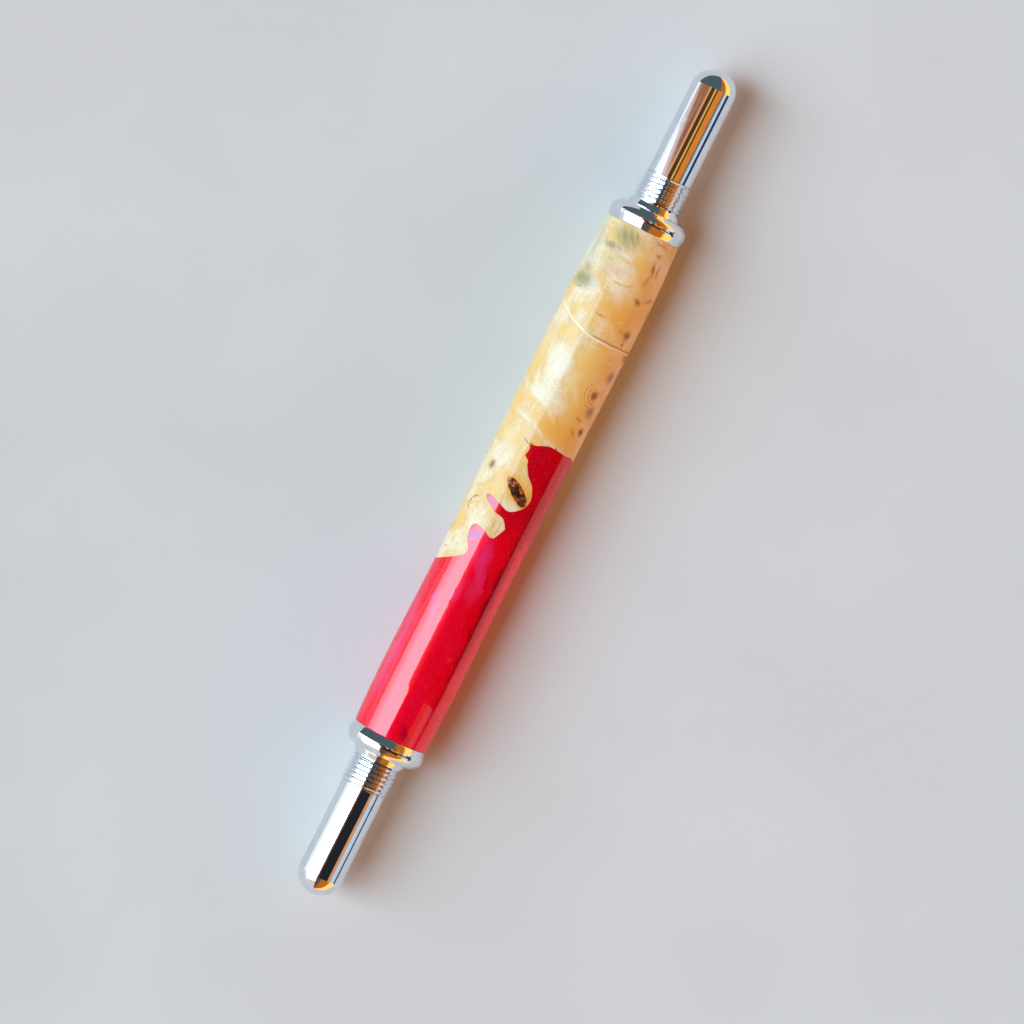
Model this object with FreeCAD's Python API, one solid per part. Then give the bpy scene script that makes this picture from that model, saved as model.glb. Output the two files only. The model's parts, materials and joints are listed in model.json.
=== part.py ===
"""Double-ended seam ripper with a turned wood-and-resin handle.

Both ripper units are stowed: each blade lies inside the handle and its bullet cap stands out.
A unit unscrews, draws out along the axis, and screws back in the other way round for use.

Frame, in millimetres: the tool lies along X with its wood end towards +X. Z is up. The origin is on the
surface that the tool lies on, under the middle of its length.
"""

import FreeCAD, Part
import math
import os

# ---------------------------------------------------------------- driving dimensions
BARREL_LENGTH = 85.5        # turned wood and resin
COLLAR_WIDTH = 3.2
COLLAR_RADIUS = 6.28        # the crown's widest round
COLLAR_BACK_RADIUS = 5.8    # beside the barrel
COLLAR_FACE_RADIUS = 5.2    # round the outer face
BARREL_REST_RADIUS = 6.40   # the widest part of the barrel, which touches the surface
TUBE_RADIUS = 5.0           # brass tube glued through the barrel
TUBE_WALL = 0.35

THREAD_RADIUS = 4.0         # M8 x 0.75, right-handed, on both sides of the flange
THREAD_PITCH = 0.75
THREAD_DEPTH = 0.34         # shallow, with crests rounded by the plating
THREAD_CREST = 0.12         # flats at the crest and the root, along the axis
THREAD_ROOT = 0.10
THREAD_BEVEL = 0.2
THREAD_LENGTH = 4.65
THREAD_CLEARANCE = 0.05
THREAD_CORE = 3.0           # solid shaft under the thread

FLANGE_RADIUS = 4.4         # double-cone stop between the two threads
FLANGE_HALF_WIDTH = 1.0
CAP_RADIUS = 3.62
CAP_LENGTH = 18.25
CAP_DOME = 3.15             # axial length of the nose

EDGE_BREAK = 0.12

# Barrel outline: distance from the middle, radius
BARREL_OUTLINE = [
    (-42.75, 5.97), (-36.0, 6.19), (-18.0, 6.10), (0.0, 6.15),
    (14.0, 6.29), (28.0, BARREL_REST_RADIUS), (37.0, 6.26), (42.75, 5.88),
]

# The wood's natural edge, once round the barrel: distance from the middle, and degrees from the top towards
# +Y. Smooth runs meet at corners, each run starting at the last one's end. Wood lies on the +X side.
WOOD_EDGE = [
    [(-12.10, 20), (-12.55, 21.5), (-13.10, 26), (-13.70, 35), (-14.30, 47), (-15.00, 64), (-15.30, 84),
     (-14.10, 104), (-11.30, 118), (-10.20, 133), (-12.20, 148), (-12.60, 163), (-9.20, 174),
     (-5.40, 186), (-4.60, 200), (-7.10, 214), (-6.30, 228), (-1.80, 238), (2.90, 248), (5.90, 262),
     (7.00, 274), (7.30, 287), (7.35, 302), (7.20, 318), (7.45, 326), (7.52, 335), (7.40, 345),
     (7.00, 353), (6.62, 363), (6.45, 368.5)],
    [(6.45, 8.5), (5.95, 5.8), (5.30, 6.2), (4.80, 7.4)],
    [(4.80, 7.4), (4.45, 3.6), (4.20, 0.4), (3.65, -1.2), (2.90, -5.3), (2.00, -10.5), (1.20, -19.5),
     (0.00, -26), (-1.20, -30), (-2.60, -26.5), (-3.55, -17.5), (-4.10, -6), (-3.60, 4), (-3.20, 15),
     (-2.85, 28), (-3.05, 33)],
    [(-3.05, 33), (-3.70, 30), (-4.35, 20), (-4.85, 12.5), (-5.10, 3), (-5.30, -5)],
    [(-5.30, -5), (-5.90, -10), (-6.65, -14.5)],
    [(-6.65, -14.5), (-7.60, -10.5), (-8.45, -6.5)],
    [(-8.45, -6.5), (-8.72, -1.5), (-8.30, 8), (-7.85, 20), (-7.75, 27)],
    [(-7.75, 27), (-8.25, 32), (-9.20, 32), (-10.40, 28.5), (-11.40, 22.5), (-12.10, 20)],
]

# The two ripper units differ only in their blades. Distances along a blade run inwards from the flange.
LARGE = {"shank": 1.5, "shoulder": 19.0, "crotch": 28.4, "ball_at": 34.0, "tip": 42.6,
         "half_width": 3.05, "plate": 1.5, "gap": 0.95, "bevel": 0.8, "ball": 1.45, "nose_end": 12.8}
SMALL = {"shank": 1.15, "shoulder": 17.2, "crotch": 24.6, "ball_at": 29.0, "tip": 35.6,
         "half_width": 2.45, "plate": 1.2, "gap": 0.75, "bevel": 0.65, "ball": 1.15, "nose_end": 12.0}
TIP_OFFSET = 0.42                              # the long point's side offset over half the fork's width

# ---------------------------------------------------------------- worked-out places
AXIS_HEIGHT = BARREL_REST_RADIUS
HALF_BARREL = BARREL_LENGTH / 2
FACE = HALF_BARREL + COLLAR_WIDTH              # outer face of each collar, where the flange seats
TUBE_BORE = TUBE_RADIUS - TUBE_WALL
BUSH_BORE = THREAD_RADIUS + THREAD_CLEARANCE
BUSH_LENGTH = 9.0
BUSH_LEAD = 0.25                               # cone that leads the bush into the tube
BUSH_HEAD_RADIUS = 4.95
BUSH_HEAD_THICK = 0.8
BUSH_HEAD_BREAK = 0.06
BUSH_EXIT_BORE = CAP_RADIUS + 0.13
BUSH_RUN_OUT = 0.35                            # plain bore past the end of the thread
SEAT_CLEARANCE = 0.04
SEAT_STEP = 0.05                               # flange and bush stay this far apart where the bore starts
THREAD_END = FLANGE_HALF_WIDTH + THREAD_LENGTH
RELIEF_WIDTH = 0.3
RELIEF_RADIUS = THREAD_RADIUS - THREAD_DEPTH - 0.04
FLANGE_RIM = THREAD_RADIUS                     # flange radius beside the thread
FLANGE_LAND = 0.12                             # half width of the flange's widest band
BASE_RADIUS = 3.4
BASE_END = 8.4
SPIGOT_RADIUS = 2.5
SPIGOT_END = THREAD_END + 8.0
SPIGOT_BEVEL = 0.3
SOCKET_SPACE = 0.8                             # air behind the spigot in the cap's bore
NOSE_WALL = 0.75                               # carrier's wall round the blade's shank
BLADE_SEAT = -4.0                              # the blade's shank ends here, inside the carrier
X_AXIS = FreeCAD.Vector(1, 0, 0)
Z_AXIS = FreeCAD.Vector(0, 0, 1)
ORIGIN = FreeCAD.Vector(0, 0, 0)


def at(x, r, z=0.0):
    return FreeCAD.Vector(x, r, z)


def polygon(points):
    """Straight edges through (x, r) points, not closed."""
    return [Part.LineSegment(at(*a), at(*b)).toShape() for a, b in zip(points, points[1:])]


def revolve(edges):
    """The closed outline of edges, turned once round the X axis."""
    face = Part.Face(Part.Wire(Part.__sortEdges__(edges)))
    return face.revolve(ORIGIN, X_AXIS, 360)


def turned(points):
    """A closed polygon of (x, r) points, turned round the X axis."""
    return revolve(polygon(points + points[:1]))


def place(shape, end):
    """Moves a unit's own frame, +X outwards from the flange, to the handle's end: +1 wood, -1 resin."""
    moved = shape.copy()
    if end < 0:
        moved.rotate(ORIGIN, Z_AXIS, 180)
    moved.translate(FreeCAD.Vector(end * FACE, 0, AXIS_HEIGHT))
    return moved


def save(name, shape):
    solids = shape.Solids
    assert solids and all(s.isValid() and s.Volume > 0 for s in solids), name
    kept = solids[0] if len(solids) == 1 else Part.makeCompound(solids)
    kept.exportStep(f"parts/{name}.step")
    print(f"{name}: {len(solids)} solid(s), {kept.Volume:.2f} mm3, {len(kept.Faces)} faces")


# ---------------------------------------------------------------- handle
def barrel_blank():
    """The whole turned barrel, wood and resin together, round its tube."""
    outline = Part.BSplineCurve()
    outline.interpolate([at(x, r) for x, r in BARREL_OUTLINE])
    left, right = BARREL_OUTLINE[0], BARREL_OUTLINE[-1]
    ends = [(right[0], right[1]), (right[0], TUBE_RADIUS), (left[0], TUBE_RADIUS), (left[0], left[1])]
    return revolve([outline.toShape()] + polygon(ends))


def wood_edge_walls():
    """Walls square to the barrel's surface along the wood's natural edge, one for each smooth run."""
    def run_at(radius, run):
        curve = Part.BSplineCurve()
        curve.interpolate([at(x, radius * math.sin(math.radians(a)), radius * math.cos(math.radians(a)))
                           for x, a in run])
        return curve.toShape()

    low, high = TUBE_RADIUS - 1.0, BARREL_REST_RADIUS + 1.0
    return [Part.makeRuledSurface(run_at(low, run), run_at(high, run)) for run in WOOD_EDGE]


def barrel_halves():
    """(wood, resin): the blank split along the wood's edge."""
    pieces, _ = barrel_blank().generalFuse(wood_edge_walls())
    solids = sorted(pieces.Solids, key=lambda s: s.CenterOfMass.x)
    assert len(solids) == 2, len(solids)
    lift = FreeCAD.Vector(0, 0, AXIS_HEIGHT)
    for s in solids:
        s.translate(lift)
    return solids[1], solids[0]


def barrel_tube():
    tube = turned([
        (-HALF_BARREL, TUBE_BORE), (HALF_BARREL, TUBE_BORE),
        (HALF_BARREL, TUBE_RADIUS), (-HALF_BARREL, TUBE_RADIUS),
    ])
    tube.translate(FreeCAD.Vector(0, 0, AXIS_HEIGHT))
    return tube


def collar_ring():
    """Rounded trim ring, in the unit's frame, with a counterbore for the bush's head."""
    back = -COLLAR_WIDTH
    crown = Part.BSplineCurve()
    crown.interpolate(
        [at(back, COLLAR_BACK_RADIUS), at(back + 0.35, 6.02), at(back + 1.45, COLLAR_RADIUS),
         at(-0.9, 6.14), at(-0.3, 5.66), at(0, COLLAR_FACE_RADIUS)],
        Tangents=[at(0.15, 1), at(0.6, 0.5), at(1, 0), at(0.9, -0.4), at(0.5, -0.8), at(0.15, -1)],
        TangentFlags=[True, False, True, False, False, True],
    )
    inner = [(0, COLLAR_FACE_RADIUS), (0, BUSH_HEAD_RADIUS), (-BUSH_HEAD_THICK, BUSH_HEAD_RADIUS),
             (-BUSH_HEAD_THICK, TUBE_BORE), (back, TUBE_BORE), (back, COLLAR_BACK_RADIUS)]
    return revolve([crown.toShape()] + polygon(inner))


def thread_bush():
    """Flanged bush pressed through the collar into the tube, its mouth coned to seat the flange."""
    seat = FLANGE_RADIUS + SEAT_CLEARANCE
    bore_start = -FLANGE_HALF_WIDTH - SEAT_STEP
    bore_end = -THREAD_END - BUSH_RUN_OUT
    return turned([
        (0, seat), (-FLANGE_LAND, seat), (bore_start, BUSH_BORE), (bore_end, BUSH_BORE),
        (bore_end, BUSH_EXIT_BORE), (-BUSH_LENGTH, BUSH_EXIT_BORE),
        (-BUSH_LENGTH, TUBE_BORE - BUSH_LEAD), (-BUSH_LENGTH + BUSH_LEAD, TUBE_BORE),
        (-BUSH_HEAD_THICK, TUBE_BORE), (-BUSH_HEAD_THICK, BUSH_HEAD_RADIUS),
        (-BUSH_HEAD_BREAK, BUSH_HEAD_RADIUS), (0, BUSH_HEAD_RADIUS - BUSH_HEAD_BREAK),
    ])


# ---------------------------------------------------------------- ripper units
def thread_section():
    """The thread cut square across its axis: a crest arc and a root arc, joined by two spirals."""
    def around(radius, turn):
        return at(0, radius * math.cos(2 * math.pi * turn), radius * math.sin(2 * math.pi * turn))

    def arc(radius, first, last):
        middle = around(radius, (first + last) / 2)
        return Part.Arc(around(radius, first), middle, around(radius, last)).toShape()

    def flank(start, end, first, last, steps=8):
        curve = Part.BSplineCurve()
        curve.interpolate([around(start + (end - start) * i / steps, first + (last - first) * i / steps)
                           for i in range(steps + 1)])
        return curve.toShape()

    root = THREAD_RADIUS - THREAD_DEPTH
    crest_end = THREAD_CREST / THREAD_PITCH
    root_start = crest_end + (1 - crest_end - THREAD_ROOT / THREAD_PITCH) / 2
    root_end = root_start + THREAD_ROOT / THREAD_PITCH
    return Part.Wire([
        arc(THREAD_RADIUS, 0, crest_end), flank(THREAD_RADIUS, root, crest_end, root_start),
        arc(root, root_start, root_end), flank(root, THREAD_RADIUS, root_end, 1),
    ])


def thread_band():
    """One right-handed threaded band from x = 0, turned once in each pitch, with bevelled ends."""
    length = THREAD_LENGTH - RELIEF_WIDTH
    guide = Part.makeHelix(THREAD_PITCH, length, THREAD_RADIUS)
    guide.rotate(ORIGIN, FreeCAD.Vector(0, 1, 0), 90)
    sweep = Part.BRepOffsetAPI.MakePipeShell(Part.Wire([Part.makeLine(ORIGIN, at(length, 0))]))
    sweep.setAuxiliarySpine(Part.Wire(guide), True, 0)
    sweep.add(thread_section())
    sweep.build()
    sweep.makeSolid()
    low, high = THREAD_RADIUS - THREAD_BEVEL, THREAD_RADIUS + 0.05
    limits = turned([(0, 0), (length, 0), (length, low), (length - THREAD_BEVEL, high),
                     (THREAD_BEVEL, high), (0, low)])
    return sweep.shape().common(limits)


def carrier(unit):
    """Threaded carrier: spigot for the cap, thread, double-cone flange, thread, and the blade's nose."""
    nose_end = -unit["nose_end"]
    nose_radius = unit["shank"] + NOSE_WALL
    near, far = RELIEF_RADIUS, FLANGE_HALF_WIDTH + RELIEF_WIDTH
    core = turned([
        (nose_end, unit["shank"]), (nose_end, nose_radius - EDGE_BREAK),
        (nose_end + EDGE_BREAK, nose_radius), (-BASE_END, BASE_RADIUS), (-THREAD_END, BASE_RADIUS),
        (-THREAD_END, THREAD_CORE), (-far, THREAD_CORE), (-far, near), (-FLANGE_HALF_WIDTH, near),
        (-FLANGE_HALF_WIDTH, FLANGE_RIM), (-FLANGE_LAND, FLANGE_RADIUS), (FLANGE_LAND, FLANGE_RADIUS),
        (FLANGE_HALF_WIDTH, FLANGE_RIM), (FLANGE_HALF_WIDTH, near), (far, near), (far, THREAD_CORE),
        (THREAD_END, THREAD_CORE), (THREAD_END, SPIGOT_RADIUS), (SPIGOT_END - SPIGOT_BEVEL, SPIGOT_RADIUS),
        (SPIGOT_END, SPIGOT_RADIUS - SPIGOT_BEVEL), (SPIGOT_END, 0), (BLADE_SEAT, 0),
        (BLADE_SEAT, unit["shank"]),
    ])
    outer = thread_band()
    outer.translate(FreeCAD.Vector(far, 0, 0))
    inner = thread_band()
    inner.translate(FreeCAD.Vector(-THREAD_END, 0, 0))
    socket = Part.makeCylinder(unit["shank"], THREAD_END, at(BLADE_SEAT - THREAD_END, 0), X_AXIS)
    return core.fuse([outer, inner.cut(socket)]).removeSplitter()


def end_cap():
    """Bullet cap bored for the carrier's spigot, its nose a little flatter than a half ball."""
    start, end = THREAD_END, THREAD_END + CAP_LENGTH
    dome = end - CAP_DOME
    nose_radius = (CAP_RADIUS**2 + CAP_DOME**2) / (2 * CAP_DOME)
    half = math.asin(CAP_RADIUS / nose_radius) / 2
    between = at(end - nose_radius * (1 - math.cos(half)), nose_radius * math.sin(half))
    nose = Part.Arc(at(dome, CAP_RADIUS), between, at(end, 0)).toShape()
    sides = [(end, 0), (SPIGOT_END + SOCKET_SPACE, 0), (SPIGOT_END + SPIGOT_BEVEL, SPIGOT_RADIUS),
             (start, SPIGOT_RADIUS), (start, CAP_RADIUS - EDGE_BREAK),
             (start + EDGE_BREAK, CAP_RADIUS), (dome, CAP_RADIUS)]
    return revolve([nose] + polygon(sides))


def blade_blank(unit):
    """Round shank that flares into the fork's outer edges, pressed flat towards its tip."""
    shank, half, plate = unit["shank"], unit["half_width"], unit["plate"]
    shoulder, crotch, tip = -unit["shoulder"], -unit["crotch"], -unit["tip"]
    edge = Part.BSplineCurve()
    edge.interpolate(
        [at(shoulder, shank), at(crotch + 3.4, 0.92 * half), at(crotch, half),
         at(-unit["ball_at"], 0.84 * half), at(tip, TIP_OFFSET * half + 0.12)],
        InitialTangent=at(-1, 0), FinalTangent=at(-1, -0.16),
    )
    outline = polygon([(tip, TIP_OFFSET * half + 0.12), (tip, 0), (BLADE_SEAT, 0),
                       (BLADE_SEAT, shank), (shoulder, shank)])
    blank = revolve([edge.toShape()] + outline)

    above = shank + 0.2
    slope = Part.BSplineCurve()
    slope.interpolate(
        [at(shoulder + 2, above), at(shoulder - 1.5, 0.75 * shank), at(crotch + 3.5, plate / 2)],
        InitialTangent=at(-1, 0), FinalTangent=at(-1, 0),
    )
    top = [slope.toShape()] + polygon([(crotch + 3.5, plate / 2), (crotch, plate / 2), (tip - 1, 0.1)])
    top += polygon([(BLADE_SEAT + 1, above), (shoulder + 2, above)])
    bottom = [e.mirror(ORIGIN, FreeCAD.Vector(0, 1, 0)) for e in top]
    ends = [Part.makeLine(at(x, r), at(x, -r)) for x, r in ((BLADE_SEAT + 1, above), (tip - 1, 0.1))]
    face = Part.Face(Part.Wire(Part.__sortEdges__(top + bottom + ends)))
    slab = face.extrude(FreeCAD.Vector(0, 0, 4 * half))
    slab.translate(FreeCAD.Vector(0, 0, -2 * half))
    slab.rotate(ORIGIN, X_AXIS, 90)
    return blank.common(slab)


def fork_gap(unit, grow, z):
    """Closed outline of the space between the prongs at height z, wider by grow."""
    half, gap = unit["half_width"], unit["gap"]
    middle = -0.05 * half
    centre, far = -unit["crotch"] - gap, -unit["tip"] - 0.3
    prong_end = -unit["ball_at"] - 0.4
    tip_inside = TIP_OFFSET * half
    long_side, short_side = middle + gap + grow, middle - gap - 0.4 * grow
    corners = [
        (centre, long_side), (far, tip_inside + 0.3 * grow), (far, -3 * half), (prong_end, -3 * half),
        (prong_end, -0.58 * half - 0.15 * grow), (centre, short_side),
    ]
    points = [FreeCAD.Vector(x, y, z) for x, y in corners]
    bottom = FreeCAD.Vector(-unit["crotch"] + grow, middle, z)
    bend = Part.Arc(points[-1], bottom, points[0]).toShape()
    lines = [Part.makeLine(p, q) for p, q in zip(points, points[1:])]
    return Part.Wire([bend] + lines)


def blade(unit):
    """Forked ripper blade: a long point, a short prong, and a crotch ground sharp from both sides."""
    rise = unit["plate"]
    shape = blade_blank(unit)
    for side in (1, -1):
        outlines = [fork_gap(unit, 0, 0), fork_gap(unit, unit["bevel"] * 2, side * rise)]
        shape = shape.cut(Part.makeLoft(outlines, True, True))
    return shape


def safety_ball(unit, steel):
    """Plastic ball moulded over the short prong's end."""
    centre = FreeCAD.Vector(-unit["ball_at"], -0.66 * unit["half_width"], 0)
    return Part.makeSphere(unit["ball"], centre).cut(steel)


def save_all():
    os.makedirs("parts", exist_ok=True)
    wood, resin = barrel_halves()
    save("wood_barrel", wood)
    save("resin_barrel", resin)
    save("barrel_tube", barrel_tube())
    for name, end, unit in (("large", 1, LARGE), ("small", -1, SMALL)):
        save(f"{name}_collar_ring", place(collar_ring(), end))
        save(f"{name}_thread_bush", place(thread_bush(), end))
        save(f"{name}_carrier", place(carrier(unit), end))
        save(f"{name}_end_cap", place(end_cap(), end))
        steel = blade(unit)
        save(f"{name}_blade", place(steel, end))
        save(f"{name}_safety_ball", place(safety_ball(unit, steel), end))


save_all()
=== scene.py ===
"""Looks for the double-ended seam ripper: materials, cut female threads, studio and camera.

Metres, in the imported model's frame: the tool lies along X, wood end towards +X, on the floor at Z = 0.
Surface places are given as (x in mm from the middle, degrees round the barrel from the top towards +Y).
"""

import json
import math

import bpy
from mathutils import Euler, Matrix, Vector


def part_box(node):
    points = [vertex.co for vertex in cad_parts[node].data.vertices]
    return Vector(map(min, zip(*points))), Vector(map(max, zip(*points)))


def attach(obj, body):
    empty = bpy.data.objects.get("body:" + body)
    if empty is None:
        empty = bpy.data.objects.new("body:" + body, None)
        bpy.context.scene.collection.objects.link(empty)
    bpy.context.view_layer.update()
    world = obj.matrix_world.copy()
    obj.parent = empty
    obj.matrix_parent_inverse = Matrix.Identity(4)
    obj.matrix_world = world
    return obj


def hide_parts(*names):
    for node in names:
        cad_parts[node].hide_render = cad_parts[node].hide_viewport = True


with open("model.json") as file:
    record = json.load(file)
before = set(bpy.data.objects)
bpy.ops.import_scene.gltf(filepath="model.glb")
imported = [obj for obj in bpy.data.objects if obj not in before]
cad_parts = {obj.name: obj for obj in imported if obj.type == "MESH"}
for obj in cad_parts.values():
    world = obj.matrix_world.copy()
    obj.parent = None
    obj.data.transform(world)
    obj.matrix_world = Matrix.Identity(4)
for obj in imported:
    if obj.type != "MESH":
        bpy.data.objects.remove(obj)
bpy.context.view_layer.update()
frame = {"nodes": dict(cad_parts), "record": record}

MM = 0.001
nodes = frame["nodes"]
tube_low, tube_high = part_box("barrel_tube")
AXIS_HEIGHT = (tube_low.z + tube_high.z) / 2
BARREL_RADIUS = 6.3          # mm, where surface features are placed
SPOT_DEPTH = 3.0             # mm, how far a surface feature reaches in and out


# ---------------------------------------------------------------- node helpers
def rgb(red, green, blue):
    """A display colour, 0 to 255, as the linear colour that shaders use."""
    def linear(c):
        c /= 255
        return c / 12.92 if c <= 0.04045 else ((c + 0.055) / 1.055) ** 2.4

    return (linear(red), linear(green), linear(blue), 1)


class Graph:
    """A node tree with short calls for the nodes that these materials use."""

    def __init__(self, owner):
        owner.use_nodes = True
        self.tree = owner.node_tree
        self.tree.nodes.clear()

    def node(self, kind, inputs=None, **settings):
        made = self.tree.nodes.new(kind)
        for key, value in settings.items():
            setattr(made, key, value)
        for key, value in (inputs or {}).items():
            self.feed(made.inputs[key], value)
        return made

    def feed(self, socket, value):
        if isinstance(value, bpy.types.NodeSocket):
            self.tree.links.new(value, socket)
        else:
            socket.default_value = value

    def math(self, operation, *values):
        return self.node("ShaderNodeMath", dict(enumerate(values)), operation=operation).outputs[0]

    def vector(self, operation, *values):
        made = self.node("ShaderNodeVectorMath", operation=operation)
        for socket, value in zip(made.inputs, values):
            self.feed(socket, value)
        return made.outputs["Vector"]

    def scaled(self, vector, factor):
        made = self.node("ShaderNodeVectorMath", {0: vector, "Scale": factor}, operation="SCALE")
        return made.outputs["Vector"]

    def split(self, vector):
        return self.node("ShaderNodeSeparateXYZ", {0: vector}).outputs

    def step(self, value, start, end, low=0.0, high=1.0):
        """Smooth change from low to high as value goes from start to end."""
        made = self.node("ShaderNodeMapRange", {"Value": value, "To Min": low, "To Max": high},
                         interpolation_type="SMOOTHSTEP", clamp=False)
        if start < end:
            made.inputs["From Min"].default_value = start
            made.inputs["From Max"].default_value = end
        else:
            made.inputs["From Min"].default_value = end
            made.inputs["From Max"].default_value = start
            made.inputs["To Min"].default_value = high
            made.inputs["To Max"].default_value = low
        return made.outputs["Result"]

    def between(self, value, low, high, soft):
        """1 inside low..high, fading to 0 over soft outside it."""
        rise = self.step(value, low - soft, low)
        return self.math("MULTIPLY", rise, self.step(value, high + soft, high))

    def ramp(self, value, stops):
        made = self.node("ShaderNodeValToRGB", {"Fac": value})
        elements = made.color_ramp.elements
        while len(elements) < len(stops):
            elements.new(0.5)
        for element, (position, colour) in zip(elements, stops):
            element.position = position
            element.color = colour
        return made.outputs["Color"]

    def mix(self, factor, a, b):
        made = self.node("ShaderNodeMix", data_type="RGBA")
        self.feed(made.inputs["Factor"], factor)
        self.feed(made.inputs[6], a)
        self.feed(made.inputs[7], b)
        return made.outputs[2]

    def noise(self, vector, scale, detail=2.0, roughness=0.5, colour=False):
        made = self.node("ShaderNodeTexNoise",
                         {"Vector": vector, "Scale": scale, "Detail": detail, "Roughness": roughness})
        return made.outputs["Color" if colour else "Fac"]

    def voronoi(self, vector, scale, output="Distance"):
        made = self.node("ShaderNodeTexVoronoi", {"Vector": vector, "Scale": scale})
        return made.outputs[output]

    def stretched(self, vector, scale):
        return self.vector("MULTIPLY", vector, scale)

    def moved(self, vector, **inputs):
        return self.node("ShaderNodeMapping", {"Vector": vector, **inputs}).outputs["Vector"]

    def warped(self, vector, scale, amount, detail=2.0):
        """The same place, pushed about by up to amount through slow noise."""
        push = self.vector("SUBTRACT", self.noise(vector, scale, detail, colour=True), (0.5, 0.5, 0.5))
        return self.moved(vector, Location=self.scaled(push, 2 * amount))

    def millimetres(self):
        """Place in mm, measured from the middle of the tool's axis."""
        place = self.node("ShaderNodeTexCoord").outputs["Object"]
        return self.moved(place, Location=(0, 0, -AXIS_HEIGHT / MM), Scale=(1 / MM, 1 / MM, 1 / MM))

    def spot(self, place, x, degrees, length, width, turn=0.0):
        """1 at a surface place, falling to 0 at the rim of a length x width oval.

        turn is the oval's angle from +X round the barrel. The nodes here pass points on without a change of
        type, which keeps a shader with many spots small.
        """
        a = math.radians(degrees)
        centre = (x, BARREL_RADIUS * math.sin(a), BARREL_RADIUS * math.cos(a))
        turned = Matrix.Rotation(-a, 3, "X") @ Matrix.Rotation(math.radians(turn), 3, "Z")
        local = self.node("ShaderNodeMapping", {
            "Vector": place, "Location": centre, "Rotation": turned.to_euler("XYZ"),
            "Scale": (length / 2, width / 2, SPOT_DEPTH),
        }, vector_type="TEXTURE")
        return self.node("ShaderNodeTexGradient", {"Vector": local.outputs["Vector"]},
                         gradient_type="SPHERICAL").outputs["Fac"]

    def streak(self, place, start, end, width):
        """1 in the middle of the oval between two surface places (x, degrees), falling to 0 at its rim."""
        (x, degrees), (end_x, end_degrees) = start, end
        along, around = end_x - x, math.radians(end_degrees - degrees) * BARREL_RADIUS
        length = width + 1.15 * math.hypot(along, around)
        turn = math.degrees(math.atan2(around, along))
        return self.spot(place, (x + end_x) / 2, (degrees + end_degrees) / 2, length, width, turn)

    def bump(self, height, strength, distance=0.05 * MM):
        return self.node("ShaderNodeBump",
                         {"Height": height, "Strength": strength, "Distance": distance}).outputs["Normal"]

    def surface(self, **inputs):
        """A Principled shader wired to the output. Names use underscores for spaces."""
        shader = self.node("ShaderNodeBsdfPrincipled",
                           {key.replace("_", " "): value for key, value in inputs.items()})
        self.node("ShaderNodeOutputMaterial", {"Surface": shader.outputs["BSDF"]})


# ---------------------------------------------------------------- wood
PALE = rgb(246, 230, 200)
CREAM = rgb(245, 220, 178)
HONEY = rgb(240, 200, 134)
GOLD = rgb(246, 200, 110)
AMBER = rgb(246, 178, 76)
RUST = rgb(186, 104, 44)
BARK = rgb(98, 56, 34)
CHAR = rgb(36, 26, 24)
OLIVE = rgb(150, 144, 98)
ASH = rgb(158, 152, 130)
SLATE = rgb(104, 104, 120)
BLUSH = rgb(240, 188, 150)
# painted light: a lighter colour laid along the wood's -Y side
PAINTED_SIDE_LIGHT = rgb(250, 200, 104)
STRAW = rgb(216, 196, 146)
BUFF = rgb(224, 208, 172)
SILVER = rgb(190, 184, 166)

# Broad soft zones: from (x, degrees) to (x, degrees), width, colour, strength. The first zone is painted
# light that brightens the -Y side.
ZONES = [
    # the first zone is painted light: a lighter band along the -Y side of the whole wood
    ((44.0, -34), (12.0, -34), 7.5, PAINTED_SIDE_LIGHT, 0.60), ((42.0, 66), (34.0, 58), 4.5, SILVER, 0.75),
    ((29.5, 12), (29.5, -46), 9.5, AMBER, 0.75), ((41.0, -8), (35.0, -34), 5.5, GOLD, 0.80),
    ((10.3, 10), (10.3, -48), 8.0, AMBER, 0.95), ((24.0, -16), (10.0, -36), 9.0, GOLD, 0.85),
    ((20.0, -50), (8.0, -60), 8.0, GOLD, 0.55), ((40.0, -55), (24.0, -70), 8.0, GOLD, 0.60),
    ((14.5, 28), (23.0, 22), 6.5, PALE, 0.45), ((30.0, 60), (19.0, 62), 5.0, CREAM, 0.60),
    ((38.0, 30), (34.0, 24), 4.0, BUFF, 0.60),
    ((43.0, 26), (38.5, 14), 4.6, STRAW, 0.65), ((12.4, 60), (12.6, 28), 2.2, AMBER, 0.40),
    ((9.4, 74), (9.3, 46), 1.6, AMBER, 0.45), ((7.5, 50), (3.0, 30), 4.0, PALE, 0.50),
    ((24.5, 66), (22.5, 52), 2.6, BLUSH, 0.45), ((3.5, 60), (-2.0, 64), 3.0, HONEY, 0.60),
    ((32.0, 140), (14.0, 150), 9.0, AMBER, 0.50), ((36.0, 200), (22.0, 215), 8.0, GOLD, 0.70),
    ((10.0, 190), (0.0, 175), 7.0, AMBER, 0.50), ((18.0, 240), (32.0, 255), 6.0, PALE, 0.50),
]

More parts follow.
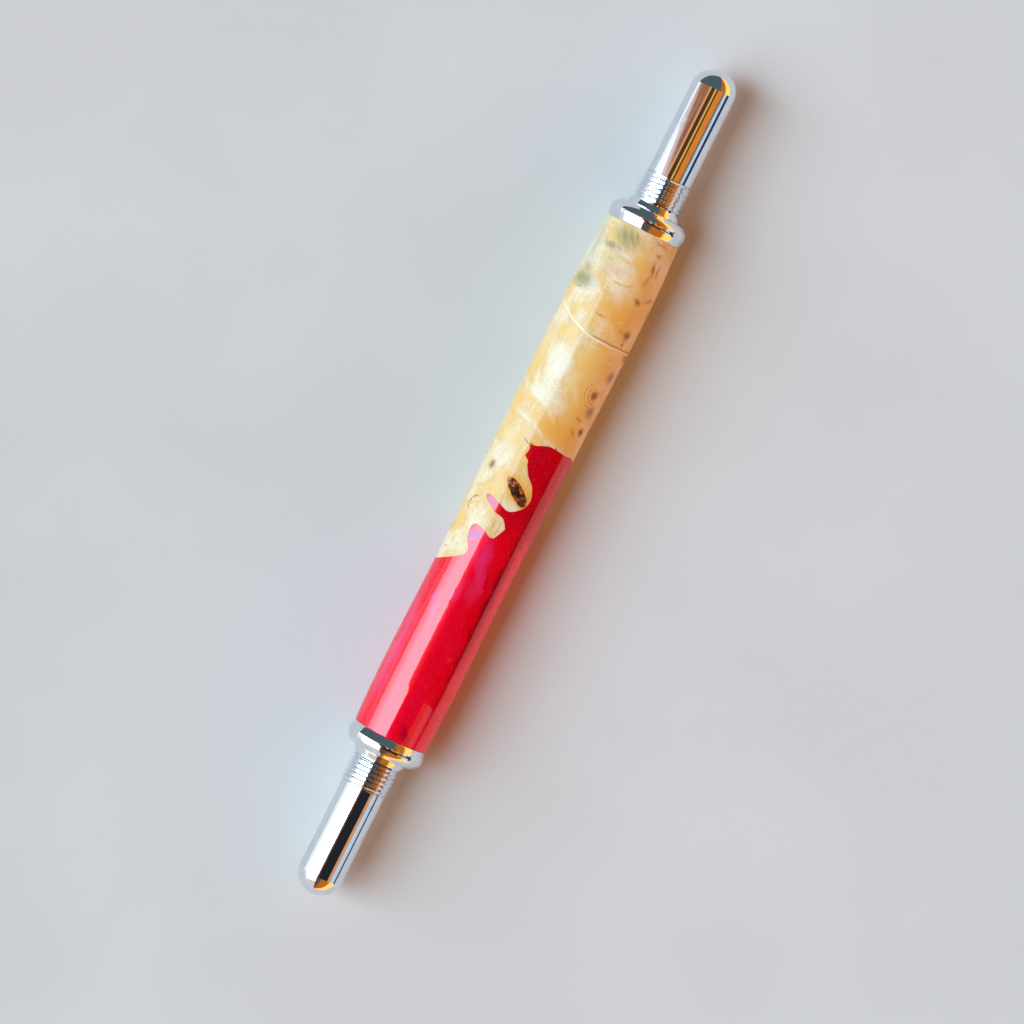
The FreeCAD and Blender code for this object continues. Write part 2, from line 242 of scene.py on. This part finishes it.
# Marks in the figure: from (x, degrees) to (x, degrees), width, colour, strength
MARKS = [
    # cream crescents and the oval eye near the wood end
    ((37.4, 56), (38.5, 22), 1.3, CREAM, 0.65), ((38.6, 24), (38.1, -6), 1.0, PALE, 0.75),
    ((38.0, -4), (35.2, -22), 0.9, CREAM, 0.60), ((35.2, 24), (35.8, 2), 2.6, BLUSH, 0.60),
    ((37.6, 8), (37.4, -6), 0.5, AMBER, 0.70), ((36.9, 27), (36.9, 20), 0.4, RUST, 0.45),
    ((34.9, 30), (34.1, 8), 0.55, AMBER, 0.65), ((34.1, 10), (34.0, -12), 0.6, AMBER, 0.85),
    ((34.0, -10), (34.8, -24), 0.6, AMBER, 0.75), ((35.3, 8), (34.8, -4), 0.5, AMBER, 0.50),
    ((33.2, 12), (33.3, -8), 0.8, CREAM, 0.70),
    # grey weathered streaks beside the collar
    ((41.2, 30), (40.4, 2), 4.2, OLIVE, 0.50), ((38.9, 50), (38.6, 20), 2.0, ASH, 0.45),
    ((42.4, 28), (39.6, 14), 0.9, OLIVE, 0.45), ((42.4, 18), (40.0, 5), 0.9, OLIVE, 0.50),
    ((41.2, 34), (39.0, 20), 0.5, ASH, 0.50), ((42.4, 8), (40.6, -2), 0.6, OLIVE, 0.60),
    ((40.6, 12), (39.4, 0), 0.5, GOLD, 0.60), ((39.0, 38), (38.8, 30), 1.1, SLATE, 0.40),
    ((39.4, 48), (38.2, 38), 0.5, ASH, 0.60), ((38.9, 26), (38.4, 12), 0.4, ASH, 0.60),
    # olive patch
    ((32.6, 68), (32.3, 38), 4.4, OLIVE, 0.80), ((34.8, 60), (34.0, 48), 1.9, OLIVE, 0.50),
    ((31.2, 58), (31.1, 44), 0.6, OLIVE, 0.70), ((33.2, 36), (32.2, 28), 2.0, rgb(206, 200, 200), 0.60),
    ((33.8, 44), (34.2, 41), 0.8, BLUSH, 0.50),
    # brown spots and smears on the -Y side
    ((32.9, -34), (32.6, -43), 1.4, RUST, 0.90), ((33.1, -49), (34.2, -72), 1.1, RUST, 0.45),
    ((39.2, -38), (37.2, -40), 1.0, BARK, 0.60), ((39.2, -49), (36.8, -50), 0.6, BARK, 0.60),
    ((40.4, -36), (40.3, -44), 0.9, RUST, 0.60), ((42.4, -20), (41.8, -50), 0.9, RUST, 0.45),
    ((36.6, -38), (35.2, -36), 1.4, RUST, 0.35),
    # within the amber zone
    ((28.7, 10), (28.6, -9), 0.5, RUST, 0.50), ((27.7, -2), (27.6, -13), 1.5, CREAM, 0.50),
    ((27.6, -22), (26.3, -29), 1.6, CREAM, 0.45), ((28.6, -24), (29.1, -36), 0.4, CREAM, 0.70),
    ((27.9, -34), (27.4, -42), 1.2, RUST, 0.30), ((22.9, -28), (22.3, -80), 0.5, CREAM, 0.60),
    ((24.3, 0), (24.3, -40), 0.8, AMBER, 0.55),
    # cream diagonals beside the resin
    ((14.2, 44), (12.8, 10), 1.3, PALE, 0.80), ((13.1, 13), (10.9, -8), 0.9, CREAM, 0.75),
    ((10.4, 54), (9.6, 18), 1.2, PALE, 0.75), ((9.9, 20), (7.9, -8), 0.8, CREAM, 0.70),
    ((17.5, -10), (15.0, -26), 1.3, CREAM, 0.55), ((8.2, 2), (7.4, -8), 1.0, BLUSH, 0.45),
    ((13.2, -36), (13.0, -44), 0.9, RUST, 0.55), ((11.2, -36), (10.6, -46), 1.1, RUST, 0.45),
    ((12.0, -14), (8.6, -24), 0.5, AMBER, 0.60), ((13.4, -4), (9.6, -20), 0.35, RUST, 0.25),
]

# Soft round knots: x, degrees, size, strength
KNOTS = [
    (1.3, 49, 1.2, 0.8), (11.4, -56, 1.0, 1.0), (14.8, -54, 1.7, 0.6), (20.8, -60, 1.7, 0.65),
    (24.4, -74, 1.3, 0.9), (27.5, -50, 1.2, 0.9), (17.3, -46.5, 1.3, 0.9), (26.1, -49, 0.7, 0.6),
    (33.0, -120, 2.4, 0.8), (22.0, 210, 1.7, 0.8), (12.0, 170, 2.0, 0.7), (28.0, 140, 1.8, 0.8),
    (3.0, 120, 2.0, 0.8), (17.0, 100, 1.4, 0.7), (37.0, 175, 1.5, 0.8), (15.0, 262, 1.2, 0.6),
]

# Bark and cracks along the wood's edge, as marks
BARK_LINES = [
    ((-3.8, 45), (-4.6, 56), 0.35, RUST, 0.90), ((-4.6, 56), (-5.6, 58), 0.35, BARK, 0.80),
    ((-5.6, 58), (-6.5, 50), 0.30, RUST, 0.70), ((-10.4, 52), (-12.2, 53), 0.30, RUST, 0.60),
    ((-12.8, 58), (-12.9, 71), 0.30, RUST, 0.55), ((-5.6, 4), (-8.0, 2), 0.30, RUST, 0.45),
    ((-5.8, -6), (-8.2, -4), 0.25, RUST, 0.40), ((-5.6, 14), (-7.6, 16), 0.25, GOLD, 0.60),
    ((6.5, 9), (7.0, 20), 0.28, SLATE, 0.85), ((6.7, 9), (6.5, 0), 0.32, rgb(112, 30, 20), 0.80),
    ((7.35, -27), (7.25, -43), 0.42, CHAR, 0.95), ((7.75, -27), (7.2, -29), 0.30, CHAR, 0.85),
    ((7.1, -62), (7.0, -78), 0.35, SLATE, 0.60), ((7.4, -14), (7.5, -24), 0.30, RUST, 0.50),
    ((3.0, -4), (1.2, -19), 0.35, RUST, 0.60), ((4.2, 3), (3.0, -4), 0.30, AMBER, 0.70),
]


def wood_figure(g, place):
    """Soft drifting cream, honey and gold with fine fibres."""
    drift = g.warped(place, 0.10, 2.4, 3)
    clouds = g.noise(drift, 0.24, 3, 0.5)
    colour = g.ramp(clouds, [(0.32, GOLD), (0.46, HONEY), (0.57, CREAM), (0.70, PALE)])
    growth = g.math("SINE", g.math("MULTIPLY", clouds, 120.0))
    colour = g.mix(g.step(growth, 0.1, 1.0, 0, 0.20), colour, rgb(216, 160, 92))
    fibres = g.noise(g.stretched(drift, (0.30, 2.2, 2.2)), 1.0, 5, 0.62)
    colour = g.mix(g.step(fibres, 0.50, 0.74, 0, 0.34), colour, rgb(214, 158, 92))
    return g.mix(g.step(fibres, 0.48, 0.28, 0, 0.34), colour, PALE)


def add_spot(g, colour, near, spot_colour, strength, full=0.65, rim=0.0):
    return g.mix(g.step(near, rim, full, 0, strength), colour, spot_colour)


def add_marks(g, colour, place, marks, full):
    for start, end, width, shade, strength in marks:
        colour = add_spot(g, colour, g.streak(place, start, end, width), shade, strength, full)
    return colour


def add_knots(g, colour, place):
    """Soft brown blotches with a darker, uneven middle."""
    ragged = g.warped(place, 1.4, 0.30, 3)
    for x, degrees, size, strength in KNOTS:
        near = g.spot(ragged, x, degrees, size * 2.1, size * 1.9)
        colour = add_spot(g, colour, near, rgb(178, 112, 66), 0.80 * strength, 0.75)
        colour = add_spot(g, colour, near, rgb(112, 62, 40), 0.70 * strength, 0.9, 0.45)
    return colour


def add_rings(g, colour, place, x, degrees, size, turn, pitch, strength, dark, light):
    """Broken growth rings round a point, fading outwards."""
    wobbly = g.warped(place, 0.45, 0.5, 3)
    near = g.spot(wobbly, x, degrees, size * 1.15, size, turn)
    wave = g.math("SINE", g.math("MULTIPLY", near, math.pi * size / pitch))
    broken = g.step(g.noise(place, 0.55, 2), 0.40, 0.60)
    fade = g.math("MULTIPLY", g.step(near, 0.0, 0.45, 0, strength), broken)
    colour = g.mix(g.math("MULTIPLY", g.step(wave, 0.0, 1.0), fade), colour, dark)
    return g.mix(g.math("MULTIPLY", g.step(wave, 0.0, -1.0), fade), colour, light)


def add_main_knot(g, colour, place):
    """The dark burr near the wood's edge, with reddish nodules in its rim."""
    rough = g.warped(place, 1.3, 0.32, 3)
    rim = g.streak(rough, (0.6, 11), (-2.1, -23), 3.2)
    colour = add_spot(g, colour, rim, AMBER, 0.75, 0.25)
    heart = g.streak(rough, (0.2, 6), (-1.8, -18), 2.1)
    nodules = g.voronoi(rough, 1.7)
    inside = g.ramp(nodules, [(0.0, rgb(214, 132, 84)), (0.30, rgb(176, 88, 46)), (0.55, BARK), (0.85, CHAR)])
    colour = g.mix(g.step(heart, 0.0, 0.20), colour, inside)
    pit = g.streak(rough, (-0.4, -2), (-1.3, -10), 1.0)
    return add_spot(g, colour, pit, CHAR, 0.92, 0.5)


def add_cream_line(g, colour, place):
    """The thin pale line that crosses the wood, rust on its outer side where it is low on -Y."""
    x, y, _ = g.split(g.warped(place, 0.35, 0.20))
    side = g.math("MAXIMUM", g.math("ADD", y, 1.1), 0.0)
    curve = g.math("MULTIPLY", g.math("MULTIPLY", side, side), 0.06)
    offset = g.math("SUBTRACT", g.math("SUBTRACT", x, 25.05), curve)
    top = g.step(g.split(place)[2], -1.0, 2.5)
    low = g.math("MULTIPLY", g.step(y, 0.6, -0.6), g.math("MULTIPLY", top, 0.75))
    rusty = g.math("MULTIPLY", g.between(offset, 0.14, 0.24, 0.25), low)
    colour = g.mix(rusty, colour, rgb(200, 112, 40))
    line = g.math("MULTIPLY", g.between(offset, -0.10, 0.02, 0.16), g.math("MULTIPLY", top, 0.75))
    return g.mix(line, colour, rgb(255, 240, 204))


def burl_wood():
    """Polished burl: figure, growth rings, marks, knots and bark under a clear gloss coat, with painted light
    brightening the -Y side.
    """
    material = bpy.data.materials.new("burl_wood")
    g = Graph(material)
    place = g.millimetres()
    colour = wood_figure(g, place)
    # zones, the first of them painted light on the -Y side
    colour = add_marks(g, colour, g.warped(place, 0.30, 1.6, 3), ZONES, 1.0)
    colour = add_rings(g, colour, place, 17.3, -45, 5.2, 0, 0.66, 0.75, rgb(214, 144, 66), rgb(244, 212, 150))
    colour = add_rings(g, colour, place, 30.0, -165, 8.0, 0, 1.0, 0.6, rgb(210, 148, 78), CREAM)
    colour = add_marks(g, colour, g.warped(place, 0.70, 0.45, 4), MARKS, 0.9)
    colour = add_knots(g, colour, place)
    colour = add_cream_line(g, colour, place)
    colour = add_main_knot(g, colour, place)
    colour = add_marks(g, colour, g.warped(place, 1.2, 0.18, 3), BARK_LINES, 0.65)
    pores = g.noise(g.stretched(g.warped(place, 0.2, 1.5), (1.2, 6, 6)), 1.0, 3, 0.7)
    colour = g.mix(g.step(pores, 0.60, 0.74, 0, 0.30), colour, rgb(182, 122, 66))
    ripple = g.noise(place, 0.5, 2)
    g.surface(
        Base_Color=colour, Roughness=g.step(pores, 0.3, 0.7, 0.45, 0.6), Specular_IOR_Level=0.0,
        Coat_Weight=1.0, Coat_Roughness=0.015, Coat_IOR=1.32,
        Normal=g.bump(pores, 0.12), Coat_Normal=g.bump(ripple, 0.03, 0.02 * MM),
    )
    return material


# ---------------------------------------------------------------- resin
SCARLET = rgb(255, 4, 46)
CRIMSON = rgb(206, 0, 24)
PEARL = rgb(250, 60, 130)
LILAC = rgb(226, 120, 206)
PLUM = rgb(150, 60, 120)

# Pearl and dark veils in the resin, as marks, with painted light: a painted reflection along +Y and painted
# shade along -Y.
VEILS_AND_PAINTED_SHEEN_AND_SHADE = [
    ((-9.4, -2), (-14.2, -11), 3.0, PEARL, 0.60), ((-12.6, -8), (-18.4, -17), 3.0, PEARL, 0.55),
    ((-16.5, 2), (-19.5, 8), 2.2, PEARL, 0.30), ((-10.5, 12), (-13.2, 4), 1.1, PEARL, 0.35),
    ((-13.6, -20), (-16.8, -26), 0.9, rgb(150, 0, 60), 0.50), ((-29.5, 56), (-33.2, 48), 3.0, PEARL, 0.45),
    # painted reflection: a pale pink band along +Y at 60 degrees over the whole resin
    ((-42.0, 60), (-16.0, 60), 3.4, rgb(255, 96, 140), 0.60),
    # painted shade: these two bands darken the -Y side along the whole resin
    ((-43.0, -30), (8.0, -30), 1.8, rgb(226, 0, 24), 0.50),
    ((-43.0, -45), (8.0, -45), 3.0, rgb(150, 0, 12), 0.85),
    ((-34.0, 56), (-38.6, 48), 3.0, PEARL, 0.40), ((-26.6, 58), (-28.0, 50), 1.3, PEARL, 0.45),
    ((-19.0, 34), (-24.0, 28), 2.2, LILAC, 0.15), ((-38.4, 24), (-41.6, 25), 0.5, CRIMSON, 0.80),
    ((-40.2, -8), (-42.4, -24), 2.2, rgb(140, 0, 58), 0.65), ((-20.5, 68), (-28.5, 64), 2.0, PEARL, 0.35),
    ((-31.0, 140), (-22.0, 160), 4.0, PEARL, 0.60), ((-20.0, 185), (-29.0, 205), 3.5, LILAC, 0.55),
    ((-36.0, 250), (-30.0, 272), 3.0, PEARL, 0.50), ((-22.0, 238), (-12.0, 222), 3.0, PEARL, 0.50),
    ((-38.0, 110), (-34.0, 96), 2.5, LILAC, 0.45), ((-6.0, 215), (-2.0, 238), 2.0, rgb(140, 0, 50), 0.50),
]
FJORDS = [((-3.6, 14), (-4.0, 33), 1.4, PLUM, 0.85), ((-8.8, 14), (-10.2, 32), 2.4, PLUM, 0.90)]


def red_resin():
    """Bright red with cloudy pearl veils and fine sparkle, deeper beside the wood, with a painted reflection
    along +Y and painted shade along -Y.
    """
    material = bpy.data.materials.new("red_resin")
    g = Graph(material)
    place = g.millimetres()
    swirl = g.warped(place, 0.10, 4.5, 3)
    veils = g.noise(g.stretched(swirl, (0.12, 0.30, 0.30)), 1.0, 4, 0.55)
    colour = g.mix(g.step(veils, 0.38, 0.60), rgb(250, 0, 34), SCARLET)
    colour = g.mix(g.step(g.split(place)[0], -10.0, -3.5, 0, 0.85), colour, CRIMSON)
    cloudy = g.warped(g.warped(place, 0.30, 1.2, 2), 1.3, 0.35, 4)
    # veils, plus the painted reflection and painted shade bands
    colour = add_marks(g, colour, cloudy, VEILS_AND_PAINTED_SHEEN_AND_SHADE, 1.0)
    colour = add_marks(g, colour, place, FJORDS, 0.8)
    flakes = g.voronoi(place, 9.0, output="Color")
    glint = g.step(g.split(flakes)[0], 0.94, 1.0, 0, 0.25)
    colour = g.mix(glint, colour, rgb(255, 110, 150))
    ripple = g.noise(place, 0.35, 2)
    g.surface(
        Base_Color=colour, Metallic=0.25, Roughness=g.step(veils, 0.3, 0.7, 0.46, 0.36),
        Specular_IOR_Level=0.0, Specular_Tint=SCARLET,
        Coat_Weight=1.0, Coat_Roughness=0.012, Coat_IOR=1.6,
        Normal=g.bump(g.split(flakes)[1], 0.10, 0.02 * MM), Coat_Normal=g.bump(ripple, 0.018, 0.02 * MM),
    )
    return material


# ---------------------------------------------------------------- metals and plastic
def chrome():
    """Bright plating with a few faint smudges and hairlines."""
    material = bpy.data.materials.new("chrome")
    g = Graph(material)
    place = g.millimetres()
    smudges = g.noise(g.warped(place, 0.3, 1.5), 0.55, 3)
    hairlines = g.noise(g.stretched(g.warped(place, 0.2, 2.0), (9.0, 0.6, 0.6)), 1.0, 2)
    roughness = g.math("ADD", g.step(smudges, 0.52, 0.72, 0.018, 0.06),
                       g.step(hairlines, 0.66, 0.75, 0, 0.03))
    colour = g.mix(g.step(smudges, 0.4, 0.75), rgb(236, 240, 246), rgb(226, 230, 236))
    g.surface(Base_Color=colour, Metallic=1.0, Roughness=roughness, Normal=g.bump(smudges, 0.03, 0.01 * MM))
    return material


def plated_bush():
    """Satin plating with turning marks round the axis."""
    material = bpy.data.materials.new("plated_bush")
    g = Graph(material)
    place = g.millimetres()
    marks = g.noise(g.stretched(place, (14.0, 0.3, 0.3)), 1.0, 3)
    stain = g.noise(place, 0.5, 3)
    colour = g.mix(g.step(stain, 0.4, 0.7), rgb(226, 226, 226), rgb(204, 202, 196))
    g.surface(Base_Color=colour, Metallic=1.0, Roughness=g.step(marks, 0.3, 0.7, 0.10, 0.24),
              Normal=g.bump(marks, 0.12, 0.01 * MM))
    return material


def blade_steel():
    """Ground steel with fine grinding lines along the blade and a few darker heat marks."""
    material = bpy.data.materials.new("blade_steel")
    g = Graph(material)
    place = g.millimetres()
    grind = g.noise(g.stretched(place, (0.5, 11.0, 11.0)), 1.0, 4, 0.6)
    stain = g.noise(g.warped(place, 0.4, 1.0), 0.35, 3)
    colour = g.mix(g.step(grind, 0.35, 0.7), rgb(222, 223, 226), rgb(190, 191, 194))
    colour = g.mix(g.step(stain, 0.60, 0.78, 0, 0.35), colour, rgb(176, 166, 150))
    g.surface(Base_Color=colour, Metallic=1.0, Roughness=g.step(grind, 0.3, 0.75, 0.14, 0.32),
              Normal=g.bump(grind, 0.2, 0.015 * MM))
    return material


def brass():
    """Drawn tube: fine lines along its length, a little tarnished."""
    material = bpy.data.materials.new("brass")
    g = Graph(material)
    place = g.millimetres()
    drawn = g.noise(g.stretched(place, (0.2, 7.0, 7.0)), 1.0, 4)
    tarnish = g.noise(g.warped(place, 0.2, 2.0), 0.3, 4)
    colour = g.mix(g.step(drawn, 0.35, 0.7), rgb(226, 190, 112), rgb(200, 160, 84))
    colour = g.mix(g.step(tarnish, 0.52, 0.75, 0, 0.6), colour, rgb(140, 104, 56))
    g.surface(Base_Color=colour, Metallic=1.0, Roughness=g.step(tarnish, 0.4, 0.7, 0.2, 0.38),
              Normal=g.bump(drawn, 0.15, 0.01 * MM))
    return material


def red_plastic():
    """Moulded ball with faint flow marks and orange peel."""
    material = bpy.data.materials.new("red_plastic")
    g = Graph(material)
    place = g.millimetres()
    flow = g.noise(g.warped(place, 0.6, 0.8), 0.9, 3)
    peel = g.noise(place, 5.0, 2)
    colour = g.mix(g.step(flow, 0.35, 0.7), rgb(214, 18, 20), rgb(186, 8, 16))
    g.surface(Base_Color=colour, Roughness=g.step(flow, 0.3, 0.7, 0.16, 0.27),
              Normal=g.bump(peel, 0.08, 0.02 * MM), Coat_Weight=0.3, Coat_Roughness=0.08)
    return material


MATERIALS = {make.__name__: make() for make in
             (burl_wood, red_resin, chrome, plated_bush, blade_steel, brass, red_plastic)}
for part in frame["record"]["subparts"]:
    mesh = nodes[part["node"]].data
    mesh.materials.clear()
    mesh.materials.append(MATERIALS[part["material_slot"]])


# ---------------------------------------------------------------- threaded bushes
# Sizes in mm, with x measured from the bush's mouth and negative into the handle
PITCH = 0.75
BORE = 4.05
GROOVE = 0.33
RUN_OUT = 0.35               # length over which the groove fades at each end
THREAD_START, THREAD_STOP = -1.05, -6.0
BORE_POINTS = 61             # points along the threaded bore
AROUND = 120                 # points round the bush
SEAT_RADIUS = 4.44           # cone at the mouth, where the flange seats
SEAT_DEPTH = 0.12
EXIT_BORE = 3.75
EXIT_BEVEL = 0.15
BUSH_END = -9.0
TUBE_BORE = 4.65
LEAD = 0.25                  # bevel that guides the bush into the tube
HEAD_RADIUS = 4.95
HEAD_THICK = 0.8
CORNER = 0.05
EDGE_BREAK = 0.06


def groove_depth(x, around):
    """Depth of the right-handed groove at x and a share of a turn, run out at both ends."""
    phase = (x / PITCH - around) % 1.0
    depth = min(1.0, max(0.0, 1.25 - 2.6 * abs(phase - 0.5)))
    fade = min(1.0, (THREAD_START - x) / RUN_OUT, (x - THREAD_STOP) / RUN_OUT)
    return GROOVE * depth * max(0.0, fade)


def bush_outline(around):
    """Closed (x, r) outline of the bush at a share of a turn: mouth, threaded bore, exit, then outside."""
    bore = []
    for i in range(BORE_POINTS):
        x = THREAD_START + (THREAD_STOP - THREAD_START) * i / (BORE_POINTS - 1)
        bore.append((x, BORE + groove_depth(x, around)))
    mouth = [(0.0, SEAT_RADIUS), (-SEAT_DEPTH, SEAT_RADIUS), (THREAD_START + 0.03, BORE + 0.02)]
    inner = [(THREAD_STOP, EXIT_BORE), (BUSH_END + EXIT_BEVEL, EXIT_BORE), (BUSH_END, EXIT_BORE + EXIT_BEVEL)]
    body = [(BUSH_END, TUBE_BORE - LEAD), (BUSH_END + LEAD, TUBE_BORE), (-HEAD_THICK - CORNER, TUBE_BORE)]
    head = [(-HEAD_THICK, TUBE_BORE + CORNER), (-HEAD_THICK, HEAD_RADIUS), (-EDGE_BREAK, HEAD_RADIUS),
            (0.0, HEAD_RADIUS - EDGE_BREAK)]
    return mouth + bore + inner + body + head


def threaded_bush(name, end, replaced):
    """Watertight bush with its female thread cut in, at the handle's end: +1 wood, -1 resin."""
    low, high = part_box(replaced)
    face = (high.x if end > 0 else -low.x) / MM
    outlines = [bush_outline(j / AROUND) for j in range(AROUND)]
    count = len(outlines[0])
    points = []
    for j, outline in enumerate(outlines):
        a = 2 * math.pi * j / AROUND
        for x, r in outline:
            local = Vector((x + face, r * math.cos(a), r * math.sin(a)))
            turned = local if end > 0 else Vector((-local.x, -local.y, local.z))
            points.append(turned * MM + Vector((0, 0, AXIS_HEIGHT)))
    faces = []
    for j in range(AROUND):
        for i in range(count):
            here, there = j * count, (j + 1) % AROUND * count
            k = (i + 1) % count
            faces.append((here + i, here + k, there + k, there + i))
    mesh = bpy.data.meshes.new(name)
    mesh.from_pydata(points, [], faces)
    mesh.validate()
    mesh.shade_smooth()
    mesh.set_sharp_from_angle(angle=math.radians(32))
    mesh.materials.append(MATERIALS["plated_bush"])
    bush = bpy.data.objects.new(name, mesh)
    bpy.context.scene.collection.objects.link(bush)
    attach(bush, "handle")
    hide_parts(replaced)
    return bush


threaded_bush("large_bush_threaded", 1, "large_thread_bush")
threaded_bush("small_bush_threaded", -1, "small_thread_bush")


# ---------------------------------------------------------------- studio
FLOOR_HALF = 2.0


def floor():
    """A plain pale floor, faintly mottled."""
    corners = [(x * FLOOR_HALF, y * FLOOR_HALF, 0) for x, y in ((-1, -1), (1, -1), (1, 1), (-1, 1))]
    mesh = bpy.data.meshes.new("floor")
    mesh.from_pydata(corners, [], [(0, 1, 2, 3)])
    plane = bpy.data.objects.new("floor", mesh)
    bpy.context.scene.collection.objects.link(plane)
    material = bpy.data.materials.new("floor")
    g = Graph(material)
    place = g.millimetres()
    mottle = g.noise(place, 0.02, 3)
    colour = g.mix(g.step(mottle, 0.35, 0.65), rgb(214, 211, 206), rgb(219, 216, 212))
    g.surface(Base_Color=colour, Roughness=0.9, Specular_IOR_Level=0.1)
    mesh.materials.append(material)


# The room's light across the tool: from each angle, in degrees from overhead towards +Y, a colour
DARK = (0.02, 0.02, 0.025, 1)
BROWN = (0.10, 0.035, 0.012, 1)
RED_BROWN = (0.30, 0.10, 0.06, 1)
ORANGE = (0.78, 0.24, 0.03, 1)
LIGHT_ORANGE = (0.72, 0.36, 0.16, 1)
GOLDEN = (0.80, 0.48, 0.12, 1)
OLIVE_GREY = (0.22, 0.19, 0.11, 1)
TEAL = (0.08, 0.12, 0.13, 1)
NAVY = (0.03, 0.035, 0.08, 1)
GREY = (0.45, 0.50, 0.55, 1)
PALE_BLUE = (0.58, 0.70, 0.86, 1)
WHITE = (1.6, 1.75, 1.9, 1)
CURTAIN = (0.80, 0.62, 0.58, 1)
WARM_WALL = (0.52, 0.16, 0.02, 1)
LOW_LAMP = (2.1, 0.88, 0.18, 1)
SHADED_WALL = (0.12, 0.08, 0.06, 1)
LIT_WALL = (0.70, 0.80, 0.74, 1)
WINDOW = (5.1, 6.9, 8.3, 1)
BESIDE_WINDOW = [(76, GREY), (80, WHITE), (83, GREY), (87, WHITE)]
MIDDLE = [(-100, PALE_BLUE), (-86, NAVY), (-71, PALE_BLUE), (-57, OLIVE_GREY), (-46, ORANGE), (-20, BROWN),
          (-12, GOLDEN), (-4, BROWN), (14, LIGHT_ORANGE), (24, RED_BROWN)] + BESIDE_WINDOW
RESIN_END = [(-100, TEAL), (-80, PALE_BLUE), (-60, LIGHT_ORANGE), (-44, DARK), (4, RED_BROWN),
             (12, GREY)] + BESIDE_WINDOW
WOOD_END = [(-100, TEAL), (-84, PALE_BLUE), (-60, ORANGE), (-36, BROWN), (-26, ORANGE), (-20, TEAL),
            (80, DARK)]
RESIN_BARREL = [(-100, DARK), (4, RED_BROWN), (12, GREY)] + BESIDE_WINDOW
FAR_WOOD_END = [(-100, LOW_LAMP), (-62, WARM_WALL), (-32, TEAL)]
FAR_RESIN_END = [(-100, LOW_LAMP), (-62, WARM_WALL), (-15, SHADED_WALL), (16, LIT_WALL)]

# Along the tool, by the X part of a direction: where each set of bands starts and is full, and its softness
STRETCHES = [
    (-0.018, -0.030, RESIN_BARREL, 2), (-0.120, -0.1215, RESIN_END, 2), (0.148, 0.152, WOOD_END, 2),
    (0.20, 0.36, FAR_WOOD_END, 10), (-0.20, -0.36, FAR_RESIN_END, 10),
]
FRAME_X = (0.140, 0.148)              # a pale upright beyond the wood end
WINDOW_SILL = (20.5, 12.0)            # degrees, beside the barrel and beyond the resin end
WINDOW_HEAD = 76
WINDOW_EDGE_X = (0.051, 0.0765)       # its slanting +X edge, low and high
WINDOW_FAR_X = (-0.78, -0.70)


def bands(g, across, bounds_and_colours, soft=2):
    """Bands over -120..120 degrees that fade into one another over a soft step."""
    def share(angle):
        return (angle + 120) / 240

    stops = []
    previous = bounds_and_colours[0][1]
    for start, colour in bounds_and_colours[1:]:
        stops += [(share(start - soft / 2), previous), (share(start + soft / 2), colour)]
        previous = colour
    value = g.math("DIVIDE", g.math("ADD", across, 120.0), 240.0)
    return g.ramp(value, stops)


def room():
    """A warm room with one tall pale window on the +Y side, plain pale where the camera sees it."""
    world = bpy.data.worlds.new("studio")
    bpy.context.scene.world = world
    g = Graph(world)
    direction = g.node("ShaderNodeTexCoord").outputs["Generated"]
    x, y, z = g.split(direction)
    across = g.math("MULTIPLY", g.math("ARCTAN2", y, z), 180 / math.pi)
    cloth = g.noise(g.stretched(direction, (160.0, 60.0, 60.0)), 1.0, 3, 0.7)
    middle = g.mix(g.math("MULTIPLY", g.between(across, 25, 70, 4), g.step(cloth, 0.45, 0.70)),
                   bands(g, across, MIDDLE), LIGHT_ORANGE)
    colour = middle
    for start, full, stretch, soft in STRETCHES:
        colour = g.mix(g.step(x, start, full), colour, bands(g, across, stretch, soft))
    upright = g.math("MULTIPLY", g.between(x, *FRAME_X, 0.003), g.between(across, -20, 78, 2))
    colour = g.mix(upright, colour, PALE_BLUE)
    inside = g.math("SUBTRACT", g.step(across, 20, 84, *WINDOW_EDGE_X), x)
    sill = g.step(x, -0.105, -0.120, *WINDOW_SILL)
    above_sill = g.step(g.math("SUBTRACT", across, sill), -1.0, 0.0)
    opening = g.math("MULTIPLY", above_sill, g.step(across, WINDOW_HEAD + 0.5, WINDOW_HEAD - 0.5))
    colour = g.mix(g.math("MULTIPLY", opening, g.step(inside, -0.008, 0.004)), colour, CURTAIN)
    pane = g.math("MULTIPLY", opening, g.step(inside, 0.008, 0.016))
    dim_far_off = g.step(x, -0.45, -0.25, 0.35, 1.0)
    dim_low_down = g.step(across, 45, WINDOW_HEAD, 1.0, 0.45)
    for share in (g.step(x, *WINDOW_FAR_X), dim_far_off, dim_low_down):
        pane = g.math("MULTIPLY", pane, share)
    lit = g.mix(pane, colour, WINDOW)
    seen = g.node("ShaderNodeLightPath").outputs["Is Camera Ray"]
    shader = g.node("ShaderNodeBackground", {"Color": g.mix(seen, lit, (0.72, 0.71, 0.69, 1))})
    g.node("ShaderNodeOutputWorld", {"Surface": shader.outputs[0]})


CAMERA_PLACE = (0.02065, 0, 0.6026)
CAMERA_TURN = (-0.038, 0.01661, -1.10611)
LENS = 138.06                # mm, on a 36 mm sensor


def camera():
    """Nearly straight above the tool, with its wood end towards the picture's upper right."""
    data = bpy.data.cameras.new("camera")
    data.lens = LENS
    data.sensor_width = 36
    data.clip_start = 0.01
    shot = bpy.data.objects.new("camera", data)
    shot.location = CAMERA_PLACE
    shot.rotation_euler = Euler(CAMERA_TURN)
    bpy.context.scene.collection.objects.link(shot)
    bpy.context.scene.camera = shot


floor()
room()
camera()
bpy.context.scene.view_settings.view_transform = "Standard"
